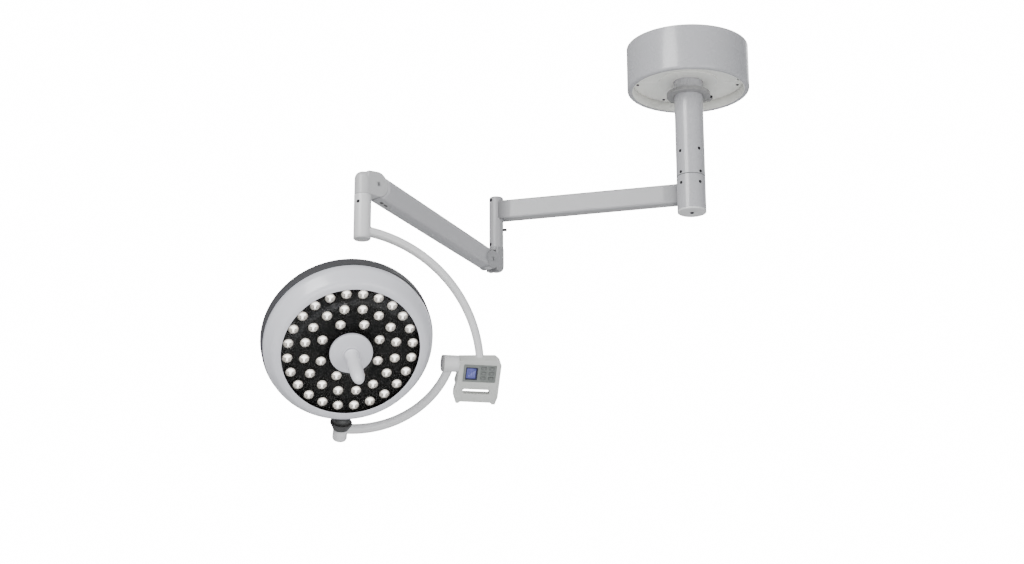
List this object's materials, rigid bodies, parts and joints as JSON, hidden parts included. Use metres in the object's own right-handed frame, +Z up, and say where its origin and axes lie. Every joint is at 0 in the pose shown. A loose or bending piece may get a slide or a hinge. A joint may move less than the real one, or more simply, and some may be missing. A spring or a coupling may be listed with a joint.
{
  "type": "surgical light",
  "caption": "Ceiling-mounted operating light: canopy, drop tube, swivelling extension arm, balanced spring arm, bow yoke with control box, and a round LED head with a centre handle.",
  "frame": {"origin": "centre of the ceiling plate's top face, on the drop tube's axis", "axes": "+Z up, out of the ceiling plate's top face; at rest the extension arm runs towards -X and the lamp head faces down and towards -Y"},
  "size_m": [1.4623, 0.6797, 1.2845],
  "materials": {
    "arm_paint": "satin powder coat, light grey",
    "canopy_paint": "gloss light grey",
    "sleeve_paint": "satin light grey",
    "ivory_plastic": "fine moulded ivory",
    "white_shell": "gloss off-white",
    "rear_shell": "satin dark grey",
    "dark_plastic": "satin black",
    "panel_black": "matt black",
    "lens": "clear moulded lens",
    "window": "clear cover",
    "steel": "machined",
    "zinc": "bright zinc",
    "screw_black": "black oxide",
    "bronze": "sintered bronze",
    "alu": "extruded",
    "board": "solder mask",
    "box_plastic": "fine moulded grey",
    "display_grey": "printed panel",
    "lcd": "display",
    "key_rubber": "silicone",
    "handle_white": "autoclavable polymer"
  },
  "bodies": {
    "ceiling_mount": {"ceiling_plate": "steel", "neck_flange": "steel", "drop_tube": "canopy_paint", "flange_bolts": "zinc", "canopy_shell": "canopy_paint", "underside_disc": "ivory_plastic", "underside_plates": "ivory_plastic", "split_collar": "box_plastic", "ceiling_screws": "screw_black", "swivel_spindle": "steel", "driver_box": "alu"},
    "extension_arm": {"hub_sleeve": "canopy_paint", "hub_screws": "screw_black", "arm_bushes": "bronze", "arm_end_caps": "sleeve_paint", "extension_beam": "arm_paint", "swivel_post": "arm_paint"},
    "brake_screw": {"brake_screw": "dark_plastic"},
    "spring_arm_base": {"elbow_casting": "arm_paint"},
    "spring_arm": {"spring_arm_shell": "arm_paint", "spring_arm_cover": "arm_paint", "arm_pivot_pins": "steel", "balance_spring": "steel", "spring_guide": "steel"},
    "leveling_rod": {"leveling_rod": "steel"},
    "front_knuckle": {"knuckle_casting": "sleeve_paint", "lamp_spindle": "steel"},
    "yoke": {"yoke_sleeve": "sleeve_paint", "sleeve_end_cap": "sleeve_paint", "sleeve_bushes": "bronze", "yoke_screws": "screw_black", "yoke_bow": "sleeve_paint", "box_front_cover": "box_plastic", "box_rear_cover": "box_plastic", "display_panel": "display_grey", "display_glass": "lcd", "control_board": "board", "tilt_axle": "steel"},
    "cross_arm": {"tilt_drum": "sleeve_paint", "drum_end_cap": "dark_plastic", "cross_arm_tube": "sleeve_paint", "pivot_cone": "dark_plastic"},
    "lamp_head": {"head_front_shell": "white_shell", "head_rear_cover": "rear_shell", "led_panel": "panel_black", "led_board": "board", "heat_sink": "alu", "front_window": "window", "led_lenses": "lens", "head_hub_disc": "white_shell", "pivot_boss": "dark_plastic", "head_pivot_pin": "steel", "handle_core": "alu"},
    "sterile_handle": {"sterile_handle": "handle_white"},
    "key_1": {"key_1": "key_rubber"},
    "key_2": {"key_2": "key_rubber"},
    "key_3": {"key_3": "key_rubber"},
    "key_4": {"key_4": "key_rubber"},
    "key_5": {"key_5": "key_rubber"},
    "key_6": {"key_6": "key_rubber"}
  },
  "joints": [
    {"name": "extension_arm_swivel", "type": "hinge", "parent": "ceiling_mount", "child": "extension_arm", "pos_m": [0, 0, -0.49], "axis": [0, 0, 1], "range_deg": [-170, 170]},
    {"name": "brake_screw_turn", "type": "hinge", "parent": "extension_arm", "child": "brake_screw", "pos_m": [-0.60059, 0.16025, -0.545], "axis": [0.9945, 0.1045, 0], "range_deg": [-180, 180]},
    {"name": "spring_arm_swivel", "type": "hinge", "parent": "extension_arm", "child": "spring_arm_base", "pos_m": [-0.60059, 0.16025, -0.56], "axis": [0, 0, 1], "range_deg": [-200, 95]},
    {"name": "spring_arm_lift", "type": "hinge", "parent": "spring_arm_base", "child": "spring_arm", "pos_m": [-0.62664, 0.13259, -0.655], "axis": [-0.728, 0.6856, 0], "range_deg": [-56, 26]},
    {"name": "leveling_rod_follow", "type": "hinge", "parent": "spring_arm_base", "child": "leveling_rod", "pos_m": [-0.62664, 0.13259, -0.67], "axis": [-0.728, 0.6856, 0], "range_deg": [-56, 26]},
    {"name": "knuckle_level", "type": "hinge", "parent": "spring_arm", "child": "front_knuckle", "pos_m": [-0.96325, -0.22487, -0.538], "axis": [-0.728, 0.6856, 0], "range_deg": [-26, 56]},
    {"name": "yoke_swivel", "type": "hinge", "parent": "front_knuckle", "child": "yoke", "pos_m": [-0.99054, -0.25384, -0.64], "axis": [0, 0, 1], "range_deg": [-170, 170]},
    {"name": "cross_arm_tilt", "type": "hinge", "parent": "yoke", "child": "cross_arm", "pos_m": [-0.73531, -0.20423, -1.077], "axis": [0.9816, 0.1908, 0], "range_deg": [-95, 105]},
    {"name": "head_tilt", "type": "hinge", "parent": "cross_arm", "child": "lamp_head", "pos_m": [-1.05535, -0.09858, -1.25149], "axis": [0.131, -0.674, 0.7271], "range_deg": [-170, 170]},
    {"name": "handle_release", "type": "slide", "parent": "lamp_head", "child": "sterile_handle", "axis": [0.2054, -0.699, -0.685], "range_m": [0, 0.12]},
    {"name": "key_1_press", "type": "slide", "parent": "yoke", "child": "key_1", "axis": [-0.1462, 0.752, 0.6428], "range_m": [0, 0.001]},
    {"name": "key_2_press", "type": "slide", "parent": "yoke", "child": "key_2", "axis": [-0.1462, 0.752, 0.6428], "range_m": [0, 0.001]},
    {"name": "key_3_press", "type": "slide", "parent": "yoke", "child": "key_3", "axis": [-0.1462, 0.752, 0.6428], "range_m": [0, 0.001]},
    {"name": "key_4_press", "type": "slide", "parent": "yoke", "child": "key_4", "axis": [-0.1462, 0.752, 0.6428], "range_m": [0, 0.001]},
    {"name": "key_5_press", "type": "slide", "parent": "yoke", "child": "key_5", "axis": [-0.1462, 0.752, 0.6428], "range_m": [0, 0.001]},
    {"name": "key_6_press", "type": "slide", "parent": "yoke", "child": "key_6", "axis": [-0.1462, 0.752, 0.6428], "range_m": [0, 0.001]}
  ],
  "couplings": [
    {"joint": "leveling_rod_follow", "follows": "spring_arm_lift", "ratio": 1},
    {"joint": "knuckle_level", "follows": "spring_arm_lift", "ratio": -1}
  ]
}
